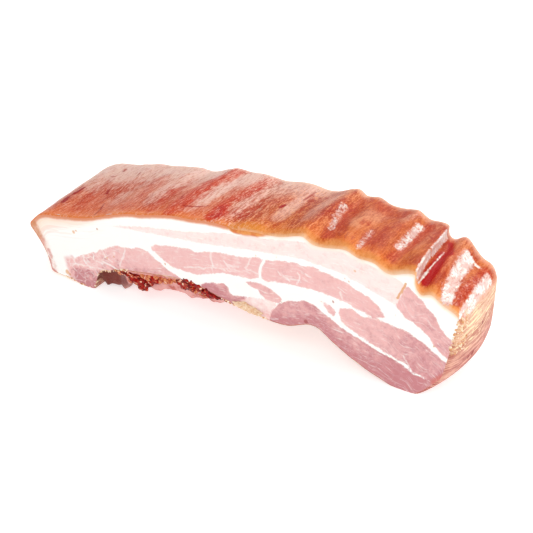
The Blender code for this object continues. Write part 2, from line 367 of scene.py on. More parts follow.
# Lumps of the torn meat under the front edge, each with its radius: dark jelly, and amber fat
JELLY = (
    (-66.4, -43.8, 19, 1.9), (-62.8, -43.6, 18, 2.2), (-59.2, -43.5, 16.8, 2.4),
    (-56.2, -43.2, 15.4, 2.4), (-53.2, -43, 14.6, 2.4), (-56, -43.4, 18.4, 1.6),
    (-52.6, -42.6, 11.4, 2.5), (-49.2, -43, 14.2, 2.2), (-46, -43.2, 16.4, 1.8),
    (-44, -43.5, 19.6, 1.9), (-40.6, -43.4, 19.2, 1.7), (-22.8, -43.9, 25, 2.2),
    (-18.8, -44.2, 26.2, 2.3), (-15.2, -44.2, 26.4, 2.2), (-11.8, -44, 25.6, 2.4),
    (-16.8, -43.5, 23, 2.6), (-20.6, -43.3, 22.6, 2.2), (-9, -43.7, 24, 2.6), (-5.8, -43.7, 23.2, 2.4),
    (-2.8, -43.8, 22.4, 2.3), (0.2, -43.9, 21.8, 2), (4.6, -44.4, 22, 1.2), (8, -44.6, 21.6, 1),
)
AMBER_FAT = (
    (-51.6, -43.7, 20.2, 1.5), (-48.6, -43.6, 19, 1.8), (-46.4, -43.8, 20.8, 1.3),
    (-41.4, -43.8, 21.6, 1.3), (-38, -43.6, 20.9, 1.7), (-34.6, -43.7, 21.4, 1.6),
    (-31, -43.8, 22.2, 1.4), (-27.4, -43.9, 23.2, 1.4), (-13.4, -43, 20.8, 1.8), (-10, -42.6, 20.1, 2),
    (-6.6, -42.4, 19.1, 1.6), (-61.2, -43.2, 14, 1.6), (-69, -44, 17.8, 1.3), (-57.6, -42.8, 12.6, 1.4),
)
LUMP_ROUGHNESS = 0.5
LUMP_SEED = 11

# A flake of crust on the lower front edge: its middle, its reach each way, its tilt and tint
FLAKE_MIDDLE = (23.6, -45.9, 21.6)
FLAKE_REACH = (8.2, 0.9, 2.5)
FLAKE_TILT = 7
FLAKE_TINT = 0.25

# Loose crumbs on two runs of the lower front edge and on the rim of the right end
CRUMB_RANGES = ((-112, -62), (4, 36))
CRUMBS_BELOW = 120
CRUMBS_AT_THE_END = 110
CRUMB_RADII = (0.3, 0.7)
CRUMB_SEED = 5
DARKEST_CRUMB = 0.75


def ramp(values, start, end):
    """A share that runs smoothly from 0 at start to 1 at end."""
    share = np.clip((values - start) / (end - start), 0, 1)
    return share * share * (3 - 2 * share)


def fade(values, start, end):
    """A share that runs smoothly from 1 at start to 0 at end."""
    return 1 - ramp(values, start, end)


def smooth_curve(knots, heights, at):
    """A smooth curve through the given knots, read at any places between them."""
    knots = np.asarray(knots, dtype=float)
    heights = np.asarray(heights, dtype=float)
    slopes = np.gradient(heights, knots)
    left = np.clip(np.searchsorted(knots, at) - 1, 0, len(knots) - 2)
    span = knots[left + 1] - knots[left]
    t = (at - knots[left]) / span
    from_heights = (1 + 2 * t) * (1 - t) ** 2 * heights[left] + t * t * (3 - 2 * t) * heights[left + 1]
    from_slopes = t * (1 - t) ** 2 * slopes[left] + t * t * (t - 1) * slopes[left + 1]
    return from_heights + span * from_slopes


def read_table(table, x, column=1):
    """One column of a table at any x, with straight runs between its rows."""
    columns = tuple(zip(*table))
    return np.interp(x, columns[0], columns[column])


def lumps(x, y, z, size, seed):
    """Smooth noise between about -1 and 1, with lumps of the given size."""
    offset = Vector((seed * 17.3, seed * 5.1, seed * 9.7))
    points = zip(x / size, y / size, z / size)
    return np.array([noise.noise(Vector(point) + offset) for point in points])


def wrinkle_shape(x, deep_share):
    """Height that the wrinkles add to the rind, and how far the fold among them leans right."""
    height = np.zeros_like(x)
    lean = np.zeros_like(x)
    for x_front, x_back, high_front, high_back, reach_left, reach_right in WRINKLES:
        crest = x_front + (x_back - x_front) * deep_share
        high = high_front + (high_back - high_front) * ramp(deep_share, 0, 0.6)
        bell = np.exp(-((x - crest) / np.where(x < crest, reach_left, reach_right)) ** 2)
        height = height + high * bell
        if high_front > FOLD_HEIGHT:
            lean = lean + FOLD_LEAN * bell ** 2
    return height, lean


def side_parts(share, size, low_rounding, high_rounding):
    """Split a place on one axis into the inner box's place, the rounding there, and the rest."""
    place = share * size
    inner = np.clip(place, low_rounding, size - high_rounding)
    rounding = np.where(place < inner, low_rounding, high_rounding)
    return inner, rounding, (place - inner) / rounding


def round_the_edges(shares, sizes):
    """Move points on the box's sides onto rounded edges, still as shares of the box."""
    sides = [
        side_parts(share, size, low_rounding, high_rounding)
        for share, size, (low_rounding, high_rounding) in zip(shares, sizes, ROUNDINGS)
    ]
    reach = np.maximum(np.sqrt(sum(out ** 2 for _, _, out in sides)), 1e-6)
    return [
        (inner + rounding * out / reach) / size
        for (inner, rounding, out), size in zip(sides, sizes)
    ]


def underside_drop(top_x, up, back):
    """How far the underside hangs below its front edge, and where it is torn and hollow."""
    torn_drop = read_table(TORN_DROP, top_x)
    in_torn_part = ramp(torn_drop, 0, 8)
    ragged = lumps(top_x, back, up * NOISE_THICKNESS, RAGGED_SIZE, 3)
    frayed = lumps(top_x, back, up * NOISE_THICKNESS, FRAYED_SIZE, 4)
    drop = (torn_drop + RAGGED_HEIGHT * ragged * in_torn_part) * ramp(back, 0, TORN_REACH)
    drop = drop + FRAYED_HEIGHT * frayed * in_torn_part * ramp(back, 0.5, 3)
    hollow_drop = read_table(HOLLOW_DROP, top_x)
    drop = drop + hollow_drop * ramp(back, 0.45 * HOLLOW_BACK, HOLLOW_BACK)
    return drop, in_torn_part, ramp(hollow_drop, 0, 8)


def rind_rise(top_x, deep, back):
    """How far the rind stands above its line at the front, and how far it leans right."""
    wrinkles, lean = wrinkle_shape(top_x, deep)
    rise = wrinkles - BACK_SAG * deep ** 3
    rise = rise + smooth_curve(*zip(*BACK_RISE), top_x) * ramp(deep, 0.3, 0.9)
    curl = read_table(FRONT_CURL, top_x) * fade(deep, 0.3, 0.8)
    return rise + curl * ramp(back, 0, CURL_REACH) ** 0.7, lean


def add_relief(x, back, z, up, deep, end_side):
    """Lumps on all sides but the knife-cut front, and the rind's ridges, dents and lip."""
    off_the_front = ramp(back, 0, 6)
    lump = LUMP_HEIGHT * off_the_front * lumps(x, back, z, LUMP_SIZE, 1)
    x = x + lump * end_side
    z = z + lump * (2 * np.abs(up - 0.5)) * (0.4 + 0.6 * fade(up, 0.9, 1))
    back = back + LUMP_HEIGHT * deep * lumps(x, back, z, LUMP_SIZE, 2)

    # Fine ridges of the rind from front to back, and small dents
    on_rind = ramp(up, 0.96, 0.999) * off_the_front
    striae = lumps(x, back * 0.09, z * 0, 3, 5) + 0.6 * lumps(x, back * 0.2, z * 0, 1.9, 6)
    dents = lumps(x, back, z, DENT_SIZE, 7)
    z = z + on_rind * (STRIA_HEIGHT * striae + DENT_HEIGHT * dents)

    # The lip where the rind hangs over the cut face, just right of the middle
    at_lip = ramp(x, *LIP_START) * fade(x, *LIP_END)
    back = back - LIP_REACH * at_lip * ramp(up, 0.925, 0.96) * fade(back, 0, 6)
    return x, back, z


def slab_points(along, up, deep):
    """The slab's surface for shares of the plain block, and where each point lies in it."""
    stations = np.array(STATIONS, dtype=float).T
    rind_x, rind_z, under_x, under_z = stations
    length = rind_x[-1] - rind_x[0]
    knots = (rind_x - rind_x[0]) / length
    thickness = np.interp(along, knots, np.hypot(rind_x - under_x, rind_z - under_z))
    depth = smooth_curve(DEPTH_SHARES, DEPTHS, along)
    along, up, deep = round_the_edges((along, up, deep), (length, thickness, depth))
    top_x, top_z, low_x, low_z = (smooth_curve(knots, column, along) for column in stations)
    depth = smooth_curve(DEPTH_SHARES, DEPTHS, along)
    back = deep * depth

    # Where the point lies in the front plane, for the marbling
    front_wrinkles, _ = wrinkle_shape(top_x, np.zeros_like(top_x))
    front_x = low_x + (top_x - low_x) * up + SHIFT_X
    front_z = low_z + (top_z + front_wrinkles - low_z) * up

    drop, in_torn_part, in_the_hollow = underside_drop(top_x, up, back)
    rise, lean = rind_rise(top_x, deep, back)
    x = low_x + (top_x - low_x) * up + lean * ramp(up, 0.9, 1)
    low_z = low_z - drop
    z = low_z + (top_z + rise - low_z) * up

    # The two ends
    near_left = fade(along * length, 0, END_REACH)
    near_right = fade((1 - along) * length, 0, END_REACH)
    x = x + near_left * (LEFT_HOLLOW * np.sin(math.pi * up) - LEFT_SLANT * back)
    bulge = np.maximum(np.sin(math.pi * deep), 0) ** 0.6 * np.cos(0.5 * math.pi * up) ** 0.5
    slant = RIGHT_SLANT_LOW + (RIGHT_SLANT_TOP - RIGHT_SLANT_LOW) * up
    x = x + near_right * (RIGHT_BULGE * bulge + slant * back)
    z = z - RIGHT_SAG * near_right * bulge * (1 - up)

    # What would dip below the table is pressed flat on it
    x, back, z = add_relief(x, back, z, up, deep, near_right - near_left)
    points = np.column_stack((x + SHIFT_X, back + FRONT_Y, np.maximum(z, 0)))
    facts = {
        "below_rind": (1 - up) * thickness,
        "above_under": up * thickness,
        "layer_along": along * length,
        "front_x": front_x,
        "front_z": front_z,
        "from_front": back,
        "from_back": (1 - deep) * depth,
        "torn": in_torn_part * fade(up, 0, 0.1) * ramp(back, 0.2, 1.2),
        "hollow": in_the_hollow * fade(up, 0, 0.2),
    }
    return points, facts


def closer_cells(share, amount):
    """Shares that crowd towards both ends."""
    return share + amount * (0.5 - 0.5 * np.cos(math.pi * share) - share)


def distance_to_piece(x, y, start, end):
    """How far each point is from one straight piece of line."""
    run_x, run_y = end[0] - start[0], end[1] - start[1]
    share = ((x - start[0]) * run_x + (y - start[1]) * run_y) / (run_x ** 2 + run_y ** 2)
    share = np.clip(share, 0, 1)
    return np.hypot(x - start[0] - share * run_x, y - start[1] - share * run_y)


def distance_to_line(x, y, line):
    """How far each point is from a line of several pieces."""
    pieces = zip(line, line[1:])
    return np.minimum.reduce([distance_to_piece(x, y, start, end) for start, end in pieces])


def distance_inside(x, z, outline):
    """How far inside an outline each point is, below zero outside it."""
    outline = outline + outline[:1]
    inside = np.zeros(x.shape, dtype=bool)
    for start, end in zip(outline, outline[1:]):
        if start[1] != end[1]:
            crosses = (start[1] > z) != (end[1] > z)
            slope = (end[0] - start[0]) / (end[1] - start[1])
            inside ^= crosses & (x < start[0] + (z - start[1]) * slope)
    nearest = distance_to_line(x, z, outline)
    return np.where(inside, nearest, -nearest)


def strokes(x, y, lines):
    """The strongest of several brush strokes at each point, 0 away from all of them."""
    strongest = np.zeros(x.shape)
    for strength, half_width, *line in lines:
        here = fade(distance_to_line(x, y, line), 0.4 * half_width, 1.6 * half_width)
        strongest = np.maximum(strongest, strength * here)
    return strongest


def near_spots(points, spots):
    """How much each point lies in one of several round spots."""
    strongest = np.zeros(len(points))
    for *middle, radius in spots:
        away = np.linalg.norm(points - middle, axis=1)
        strongest = np.maximum(strongest, fade(away, 0.5 * radius, 1.5 * radius))
    return strongest


def lean_facts(x, z):
    """How far into lean each point is, and how dark the lean there is."""
    best = np.full(x.shape, -1e9)
    tone = np.zeros(x.shape)
    for dark, *outline in LEAN:
        inside = distance_inside(x, z, outline)
        tone = np.where(inside > best, dark, tone)
        tone = tone + (dark - tone) * ramp(inside, 0, 2.5)
        best = np.maximum(best, inside)
    darker_to_the_right = 0.32 * ramp(x, 85, 135)
    return best, tone + darker_to_the_right * (tone > 0.2)


def fleck_facts(x, z):
    """Spots on the cut face: how strong, and which of two colours."""
    strength = np.zeros(x.shape)
    kind = np.zeros(x.shape)
    for spot_x, spot_z, radius, colour in FLECKS:
        here = fade(np.hypot(x - spot_x, z - spot_z), 0.3 * radius, 1.3 * radius)
        kind = np.where(here > strength, colour, kind)
        strength = np.maximum(strength, here)
    return strength, kind


def add_painted_facts(points, facts):
    """What the materials need to know about fat, lean, creases and the front edge."""
    x, y = points[:, 0], points[:, 1]
    front_x, front_z = facts["front_x"], facts["front_z"]
    deep = facts["from_front"]
    wave = WAVE_HEIGHT * ramp(deep, 4, 30) * lumps(front_x, deep, front_z * 0.5, WAVE_SIZE, 8)
    facts["lean_edge"], facts["lean_tone"] = lean_facts(front_x + wave, front_z + 0.6 * wave)
    facts["septum"] = strokes(front_x + wave, front_z, SEPTA)
    threads = [(1, THREAD_REACH, *line) for line in THREADS]
    wobble = WOBBLE_HEIGHT * lumps(front_x, deep, front_z, WOBBLE_SIZE, 9)
    facts["thread"] = strokes(front_x + wave + wobble, front_z + 0.7 * wobble, threads)
    fleck, facts["fleck_kind"] = fleck_facts(front_x, front_z)
    facts["fleck"] = fleck * fade(deep, 0.5, 2)
    facts["rind_band"] = read_table(RIND_BAND, front_x)
    facts["amber_reach"] = read_table(FRONT_EDGE, x)
    facts["cream_reach"] = read_table(FRONT_EDGE, x, 2)
    for name, lines in (("fibre", FIBRES), ("stain", STAINS)):
        facts[name] = strokes(front_x, front_z, lines)
    for name, lines in (("wet", WET_WITH_PAINTED_GLARE), ("dark_cut", DARK_CUTS)):
        facts[name] = strokes(x, y, lines)
    for name, spots in (("jelly", JELLY), ("amber_fat", AMBER_FAT), ("end_spot", END_SPOTS)):
        facts[name] = near_spots(points, spots)

    # Painted sheen: the left half of the rind is pale all over at its back, and its bands fade forwards
    deep_red = strokes(x, y, DEEP_RED)
    towards_the_back = ramp(y, -22, 28) * fade(x, 25, 75)
    fading_forwards = 1 - 0.6 * fade(y, -44, -12) * fade(x, 60, 80)
    pale = np.maximum(strokes(x, y, PAINTED_SHEEN) * fading_forwards, 0.95 * towards_the_back)
    facts["pale"] = pale * (1 - deep_red)
    facts["deep_red"] = deep_red * (1 - 0.3 * towards_the_back)


def make_block():
    """A cube from 0 to 1 each way, cut into the slab's grid of cells."""
    bm = bmesh.new()
    bmesh.ops.create_cube(bm, size=1)
    bmesh.ops.translate(bm, vec=(0.5, 0.5, 0.5), verts=bm.verts)
    for axis, cells in enumerate((CELLS_ALONG, CELLS_DEEP, CELLS_UP)):
        lines = []
        for edge in bm.edges:
            run = edge.verts[1].co - edge.verts[0].co
            if abs(run[axis]) > 0.5:
                lines.append(edge)
        bmesh.ops.subdivide_edges(bm, edges=lines, cuts=cells - 1, use_grid_fill=True)
    return bm


def take_mesh(name, bm):
    """The finished workspace as a smooth mesh."""
    mesh = bpy.data.meshes.new(name)
    bm.to_mesh(mesh)
    bm.free()
    mesh.shade_smooth()
    return mesh


def add_object(name, data):
    made = bpy.data.objects.new(name, data)
    bpy.context.scene.collection.objects.link(made)
    return made


# The order of the slab's materials
CUT, RIND, SMOKED = 0, 1, 2


def make_slab():
    """The whole slab as one closed mesh, its faces sorted into cut face, rind and smoked sides."""
    bm = make_block()
    for face in bm.faces:
        middle = face.calc_center_median()
        if middle.z > 0.9999:
            face.material_index = RIND
        elif middle.y < 0.0001:
            face.material_index = CUT
        else:
            face.material_index = SMOKED
    mesh = take_mesh("bacon", bm)
    shares = np.empty(len(mesh.vertices) * 3)
    mesh.vertices.foreach_get("co", shares)
    along, deep, up = shares.reshape(-1, 3).T
    along = along + CLOSER_TO_THE_RIGHT * along * (1 - along)
    deep = closer_cells(deep, CLOSER_TO_THE_EDGES)
    up = closer_cells(up, CLOSER_TO_THE_EDGES)
    points, facts = slab_points(along, up, deep)
    add_painted_facts(points, facts)
    mesh.vertices.foreach_set("co", (points * METRES_PER_MM).ravel())
    for name, values in facts.items():
        layer = mesh.attributes.new(name, "FLOAT", "POINT")
        layer.data.foreach_set("value", values.astype(np.float32))
    mesh.update()
    return add_object("bacon", mesh), points, facts


def add_lump(bm, middle, reach, tilt, detail):
    """A rough rounded lump, its reach given along each axis, turned about Y by tilt degrees."""
    made = bmesh.ops.create_icosphere(bm, subdivisions=detail, radius=1)
    turn = Matrix.Rotation(math.radians(tilt), 3, "Y")
    for vert in made["verts"]:
        away = vert.co.copy()
        place = Vector(middle) + away * max(reach)
        rough = noise.noise(place / 2.6) + 0.2 * noise.noise(place / 1.1)
        away = away * (1 + LUMP_ROUGHNESS * rough)
        away = turn @ Vector((away.x * reach[0], away.y * reach[1], away.z * reach[2]))
        place = Vector(middle) + away
        place.z = max(place.z, 0)
        vert.co = place * METRES_PER_MM
    return made["verts"]


def finish_piece(name, bm, material):
    """Turn the lumps into a piece of the slab."""
    mesh = take_mesh(name, bm)
    mesh.materials.append(material)
    return add_object(name, mesh)


def make_lumps(name, spots, material):
    """All lumps of one kind on the torn strip, as one piece."""
    bm = bmesh.new()
    chance = random.Random(LUMP_SEED)
    for *middle, radius in spots:
        reach = (radius * chance.uniform(1.2, 1.9), radius * 0.8, radius * chance.uniform(1, 1.4))
        add_lump(bm, middle, reach, chance.uniform(-50, 50), 4)
    return finish_piece(name, bm, material)


def make_flake(material):
    bm = bmesh.new()
    tint = bm.verts.layers.float.new("tint")
    for vert in add_lump(bm, FLAKE_MIDDLE, FLAKE_REACH, FLAKE_TILT, 5):
        vert[tint] = FLAKE_TINT
    return finish_piece("crust_flake", bm, material)


def make_crumbs(points, facts, material):
    """Loose crumbs, on points of the slab along its lower front edge and its right rim."""
    x = points[:, 0]
    low_edge = np.logical_or.reduce([(x > start) & (x < end) for start, end in CRUMB_RANGES])
    low_edge &= (facts["from_front"] < 1) & (facts["above_under"] < 1.3)
    from_end = facts["layer_along"].max() - facts["layer_along"]
    end_rim = (from_end < 1.5) & (facts["from_front"] < 10)
    end_rim &= (facts["below_rind"] > 1) & (facts["above_under"] > 14)
    chance = random.Random(CRUMB_SEED)
    bm = bmesh.new()
    tint = bm.verts.layers.float.new("tint")
    for here, count in ((low_edge, CRUMBS_BELOW), (end_rim, CRUMBS_AT_THE_END)):
        places = np.flatnonzero(here)
        for _ in range(count):
            middle = [float(part) for part in points[chance.choice(places)]]
            radius = chance.uniform(*CRUMB_RADII)
            middle[2] = max(middle[2], radius)
            shade = DARKEST_CRUMB * chance.random() ** 2
            reach = (radius * 1.3, radius * 0.8, radius)
            for vert in add_lump(bm, middle, reach, chance.uniform(-60, 60), 2):
                vert[tint] = shade
    return finish_piece("crumbs", bm, material)


class Value:
    """A number or colour that a material works out at each point, for sums written as usual."""

    def __init__(self, graph, socket):
        self.graph = graph
        self.socket = socket

    def __add__(self, other):
        return self.graph.math("ADD", self, other)

    def __sub__(self, other):
        return self.graph.math("SUBTRACT", self, other)

    def __rsub__(self, other):
        return self.graph.math("SUBTRACT", other, self)

    def __mul__(self, other):
        return self.graph.math("MULTIPLY", self, other)

    def __truediv__(self, other):
        return self.graph.math("DIVIDE", self, other)

    def __abs__(self):
        return self.graph.math("ABSOLUTE", self, 0)

    def step(self, low, high, start=0, end=1):
        """From start where this is low to end where it is high, smoothly."""
        inputs = {"Value": self, "From Min": low, "From Max": high, "To Min": start, "To Max": end}
        return self.graph.use("MapRange", inputs, interpolation_type="SMOOTHSTEP")

    def mix(self, first, second, way="MIX"):
        """A colour from the first at 0 to the second at 1."""
        inputs = {0: self, 6: first, 7: second}
        return self.graph.use("Mix", inputs, 2, data_type="RGBA", blend_type=way)

    def blend(self, first, second):
        """A number from the first at 0 to the second at 1."""
        return self.graph.use("Mix", {0: self, 2: first, 3: second}, data_type="FLOAT")


class Graph:
    """A material, and short names for the shader nodes that it is built from."""

    def __init__(self, name):
        self.material = bpy.data.materials.new(name)
        self.material.use_nodes = True
        self.tree = self.material.node_tree

    def put(self, socket, value):
        if isinstance(value, Value):
            self.tree.links.new(value.socket, socket)
        elif socket.type == "RGBA":
            socket.default_value = (*value, 1)
        else:
            socket.default_value = value

    def use(self, kind, inputs, output=0, **settings):
        """Add a node, put values on its inputs by name or number, and read one output."""
        made = self.tree.nodes.new("ShaderNode" + kind)
        for name, value in settings.items():
            setattr(made, name, value)
        for name, value in inputs.items():
            self.put(made.inputs[name], value)
        return Value(self, made.outputs[output])

    def math(self, operation, first, second):
        return self.use("Math", {0: first, 1: second}, operation=operation)

    def fact(self, name):
        return self.use("Attribute", {}, "Fac", attribute_name=name)

    def place(self, scale=(1, 1, 1)):
        """The point's place on the slab in millimetres, stretched by scale."""
        scale = tuple(part / METRES_PER_MM for part in scale)
        return self.use("Mapping", {"Vector": self.use("TexCoord", {}, "Object"), "Scale": scale})

    def place_on(self, axis):
        """The point's place on one axis, in millimetres."""
        return self.use("SeparateXYZ", {0: self.place()}, axis)

    def layer_place(self, along_scale, deep_scale):
        """The place along the layers, across them and into the slab, in millimetres."""
        return self.use("CombineXYZ", {
            "X": self.fact("layer_along") * along_scale,
            "Y": self.fact("below_rind"),
            "Z": self.place_on("Y") * deep_scale,
        })

    def noise(self, size, detail, roughness, distortion=0, scale=(1, 1, 1), place=None):
        """Noise from 0 to 1 with features of about this size, on a place stretched by scale."""
        return self.use("TexNoise", {
            "Vector": place or self.place(scale),
            "Scale": 1 / size,
            "Detail": detail,
            "Roughness": roughness,
            "Distortion": distortion,
        }, "Fac")

    def cell_borders(self, size, warp):
        """How far each point is from the border of its cell, for warped cells of about this size."""
        place = self.place()
        bend = self.use("TexNoise", {"Vector": place, "Scale": 1 / size, "Detail": 3}, "Color")
        bent = self.use("VectorMath", {0: bend, 1: (warp, warp, warp), 2: place}, operation="MULTIPLY_ADD")
        cells = {"Vector": bent, "Scale": 1 / size}
        return self.use("TexVoronoi", cells, "Distance", feature="DISTANCE_TO_EDGE")

    def bumps(self, *reliefs):
        """How the surface faces under one relief on another: height, strength and depth."""
        normal = None
        for height, strength, depth in reliefs:
            inputs = {"Height": height, "Strength": strength, "Distance": depth * METRES_PER_MM}
            if normal:
                inputs["Normal"] = normal
            normal = self.use("Bump", inputs)
        return normal

    def surface(self, settings):
        """Set the shader's inputs by name, and give back the finished material."""
        for name, value in settings.items():
            self.put(self.tree.nodes["Principled BSDF"].inputs[name], value)
        return self.material


def rgb(red, green, blue):
    """A colour as seen on a screen, from 0 to 255, as the linear colour that shaders take."""
    parts = []
    for part in (red, green, blue):
        share = part / 255
        parts.append(share / 12.92 if share <= 0.04045 else ((share + 0.055) / 1.055) ** 2.4)
    return tuple(parts)


def painted_wet_glare(graph):
    """Painted highlights where the rind is wet: a pale haze of sheen, and bright ragged glints in it."""
    ragged = graph.noise(1.6, 5, 0.75, 0.6, (1.1, 0.6, 1))
    wet_glints = ragged * 3.6 + graph.fact("wet") * 1.6 - 1.8
    return wet_glints.step(0.5, 1.5, 0, 0.75), wet_glints.step(1.05, 1.35)


def painted_glare_colour(graph):
    """The painted glare: white and pale pink in patches, with darker crinkles."""
    patchy = graph.noise(5, 3, 0.6, scale=(1, 0.5, 1))
    colour = patchy.step(0.42, 0.58).mix(rgb(238, 200, 190), rgb(255, 249, 243))
    crinkles = graph.noise(1.2, 4, 0.75, scale=(0.8, 1, 1))
    return crinkles.step(0.52, 0.62, 0, 0.75).mix(colour, rgb(216, 134, 122))


def rind_colour(graph, painted_haze, glints):
    """The smoked rind: rust and orange, amber towards the cut front edge, red in the creases, with painted
    sheen, shade and highlights.
    """
    front_x = graph.fact("front_x")
    on_the_right = front_x.step(-5, 40)
    broad = graph.noise(11, 3, 0.55, scale=(1, 0.3, 1))
    patches = broad.step(0.36, 0.64)
    left = patches.mix(rgb(196, 78, 44), rgb(220, 130, 98))
    right = patches.mix(rgb(180, 60, 20), rgb(208, 108, 48))
    colour = on_the_right.mix(left, right)
    lines = graph.noise(1.1, 4, 0.7, 0.3, (1, 0.16, 1))
    # Painted sheen in pale bands, broken by the fine lines
    pale = (lines - 0.5) * on_the_right.blend(-1.3, -0.4) + graph.fact("pale")
    pale = (broad * 0.5 + pale - 0.25).step(-0.05, 1.1, 0, 0.9)
    colour = pale.mix(colour, front_x.step(40, 75).mix(rgb(236, 204, 192), rgb(232, 170, 134)))

    # Amber towards the front edge, a glow along the edge itself, and an amber patch at the lip
    edge_noise = graph.noise(5, 3, 0.65, scale=(1, 0.5, 1))
    from_front = graph.fact("from_front") + edge_noise * 7 - 3.5
    amber = from_front / graph.fact("amber_reach")
    amber = amber.step(-0.2, 1.15, on_the_right.blend(0.85, 0.95), 0)
    colour = amber.mix(colour, on_the_right.mix(rgb(230, 110, 48), rgb(228, 118, 38)))
    glowing = from_front.step(0, 7, 0.85, 0)
    colour = glowing.mix(colour, on_the_right.mix(rgb(238, 142, 84), rgb(242, 168, 100)))
    at_lip = abs(front_x - 22).step(5, 18, 1, 0) * from_front.step(0, 13, 0.8, 0)
    colour = at_lip.mix(colour, rgb(234, 144, 50))

    # Red in the creases, partly the rind's own red and partly painted shade, and fine wrinkles with
    # painted shade in their dips and painted highlights on their crests
    deep = graph.fact("deep_red") + edge_noise * 0.5 - 0.25
    deep_colour = on_the_right.mix(rgb(208, 54, 16), rgb(188, 58, 22))
    colour = ((lines - 0.5) * 1.2 + deep).step(0, 0.85).mix(colour, deep_colour)
    relief = graph.noise(1, 3, 0.7, scale=(1, 0.6, 1)) * 0.8 + lines - 0.9
    streaky = abs(front_x - 30).step(18, 45, 1, 0)
    # Painted shade in the fine dips, weaker under the painted sheen
    dark = relief.step(-0.02, streaky.blend(0.16, 0.06)) * from_front.step(0, 10, 0.3, 1)
    colour = (dark * pale.blend(1, 0.5)).mix(colour, (0.78, 0.5, 0.4), "MULTIPLY")
    # Painted highlights on the fine crests
    light = relief.step(streaky.blend(-0.2, -0.14), -0.02, 1, 0) * on_the_right.blend(0.5, 0.35)
    light = light * (streaky * 0.7 + 1)
    colour = light.mix(colour, on_the_right.mix(rgb(240, 198, 180), rgb(236, 160, 110)))
    colour = deep.step(0.75, 1).mix(colour, rgb(172, 2, 2))

    # A painted rim light along the back, the cream along the front edge, dark specks and cuts, and the
    # painted haze and glints of glare
    painted_back_rim_light = (edge_noise * 8 + graph.fact("from_back")).step(5, 14, 0.65, 0)
    colour = painted_back_rim_light.mix(colour, on_the_right.mix(rgb(252, 222, 208), rgb(244, 200, 172)))
    cream = graph.fact("from_front") - graph.fact("cream_reach") + edge_noise * 2 - 1
    cream = cream.step(-2.2, 0.8, on_the_right.blend(0.2, 0.9), 0)
    colour = cream.mix(colour, rgb(250, 214, 180))
    specks = graph.noise(0.9, 2, 0.6).step(0.7, 0.78, 0, 0.3)
    colour = specks.mix(colour, rgb(140, 36, 16))
    cuts = (graph.fact("dark_cut") + edge_noise * 0.4 - 0.2).step(0.1, 0.6)
    colour = cuts.mix(colour, rgb(160, 0, 2))
    colour = (painted_haze * (1 - cuts)).mix(colour, rgb(240, 184, 166))
    return (glints * 0.96).mix(colour, painted_glare_colour(graph))


def make_rind_material():
    graph = Graph("smoked_rind")
    painted_haze, wet_glints = painted_wet_glare(graph)
    lines = graph.noise(1.1, 4, 0.65, 0.3, (1, 0.1, 1))
    grain = graph.noise(0.8, 3, 0.65)
    crust = graph.noise(1.7, 4, 0.7, 0.5) * wet_glints
    normal = graph.bumps((lines, 0.7, 0.5), (grain, 0.7, 0.4), (crust, 0.6, 0.7))
    return graph.surface({
        "Base Color": rind_colour(graph, painted_haze, wet_glints),
        "Normal": normal,
        "Coat Normal": normal,
        "Roughness": wet_glints.blend(grain.step(0.3, 0.7, 0.28, 0.42), 0.3),
        "Specular IOR Level": 0.1,
        "Subsurface Weight": 0.12,
        "Subsurface Radius": (1, 0.3, 0.12),
        "Subsurface Scale": 0.002,
        "Coat Weight": wet_glints * 0.7,
        "Coat Roughness": 0.12,
    })


def fat_and_lean(graph, fat, pale_lean, middle_lean, dark_lean):
    """Marbled meat: fat, and lean whose colour follows how dark its layer is."""
    front_x = graph.fact("front_x")
    mottled = graph.noise(4, 4, 0.7)
    to_the_left = front_x.step(-90, -50, 1, 0)
    tone = (mottled - 0.47) * to_the_left.blend(0.9, 1.8) + graph.fact("lean_tone")
    tone = tone + graph.fact("above_under").step(0.5, 11, 0.3, 0)
    lean = tone.step(0, 0.5).mix(pale_lean, middle_lean)
    lean = tone.step(0.45, 1.05).mix(lean, dark_lean)

    # Fat between the fibres, round the bundles, and in the drawn lines and threads
    fibres = graph.noise(1.1, 3, 0.7, 0.6, place=graph.layer_place(0.16, 1))
    borders = graph.cell_borders(5.5, 4).step(0.02, 0.1, 1, 0) * to_the_left.blend(0.07, 0.45)
    septum = graph.fact("septum") + mottled * 0.24 - 0.12
    thread = graph.fact("thread") + mottled * 0.6
    for share in (
        fibres.step(0.52, 0.72, 0, 0.45),
        borders * mottled.step(0.42, 0.6),
        septum.step(0.05, 0.7, 0, 0.9),
        thread.step(1, 1.35, 0, 0.45),
    ):
        lean = share.mix(lean, fat)

    # The ragged edge of the lean, softer at the left end
    ragged = graph.noise(5.5, 2, 0.5) + graph.noise(1.6, 4, 0.7) - 1
    soft = front_x.step(-112, -98, 2.4, 0.45)
    lean_share = (graph.fact("lean_edge") + ragged * 2.2).step(soft * -1, soft)
    return lean_share.mix(fat, lean)


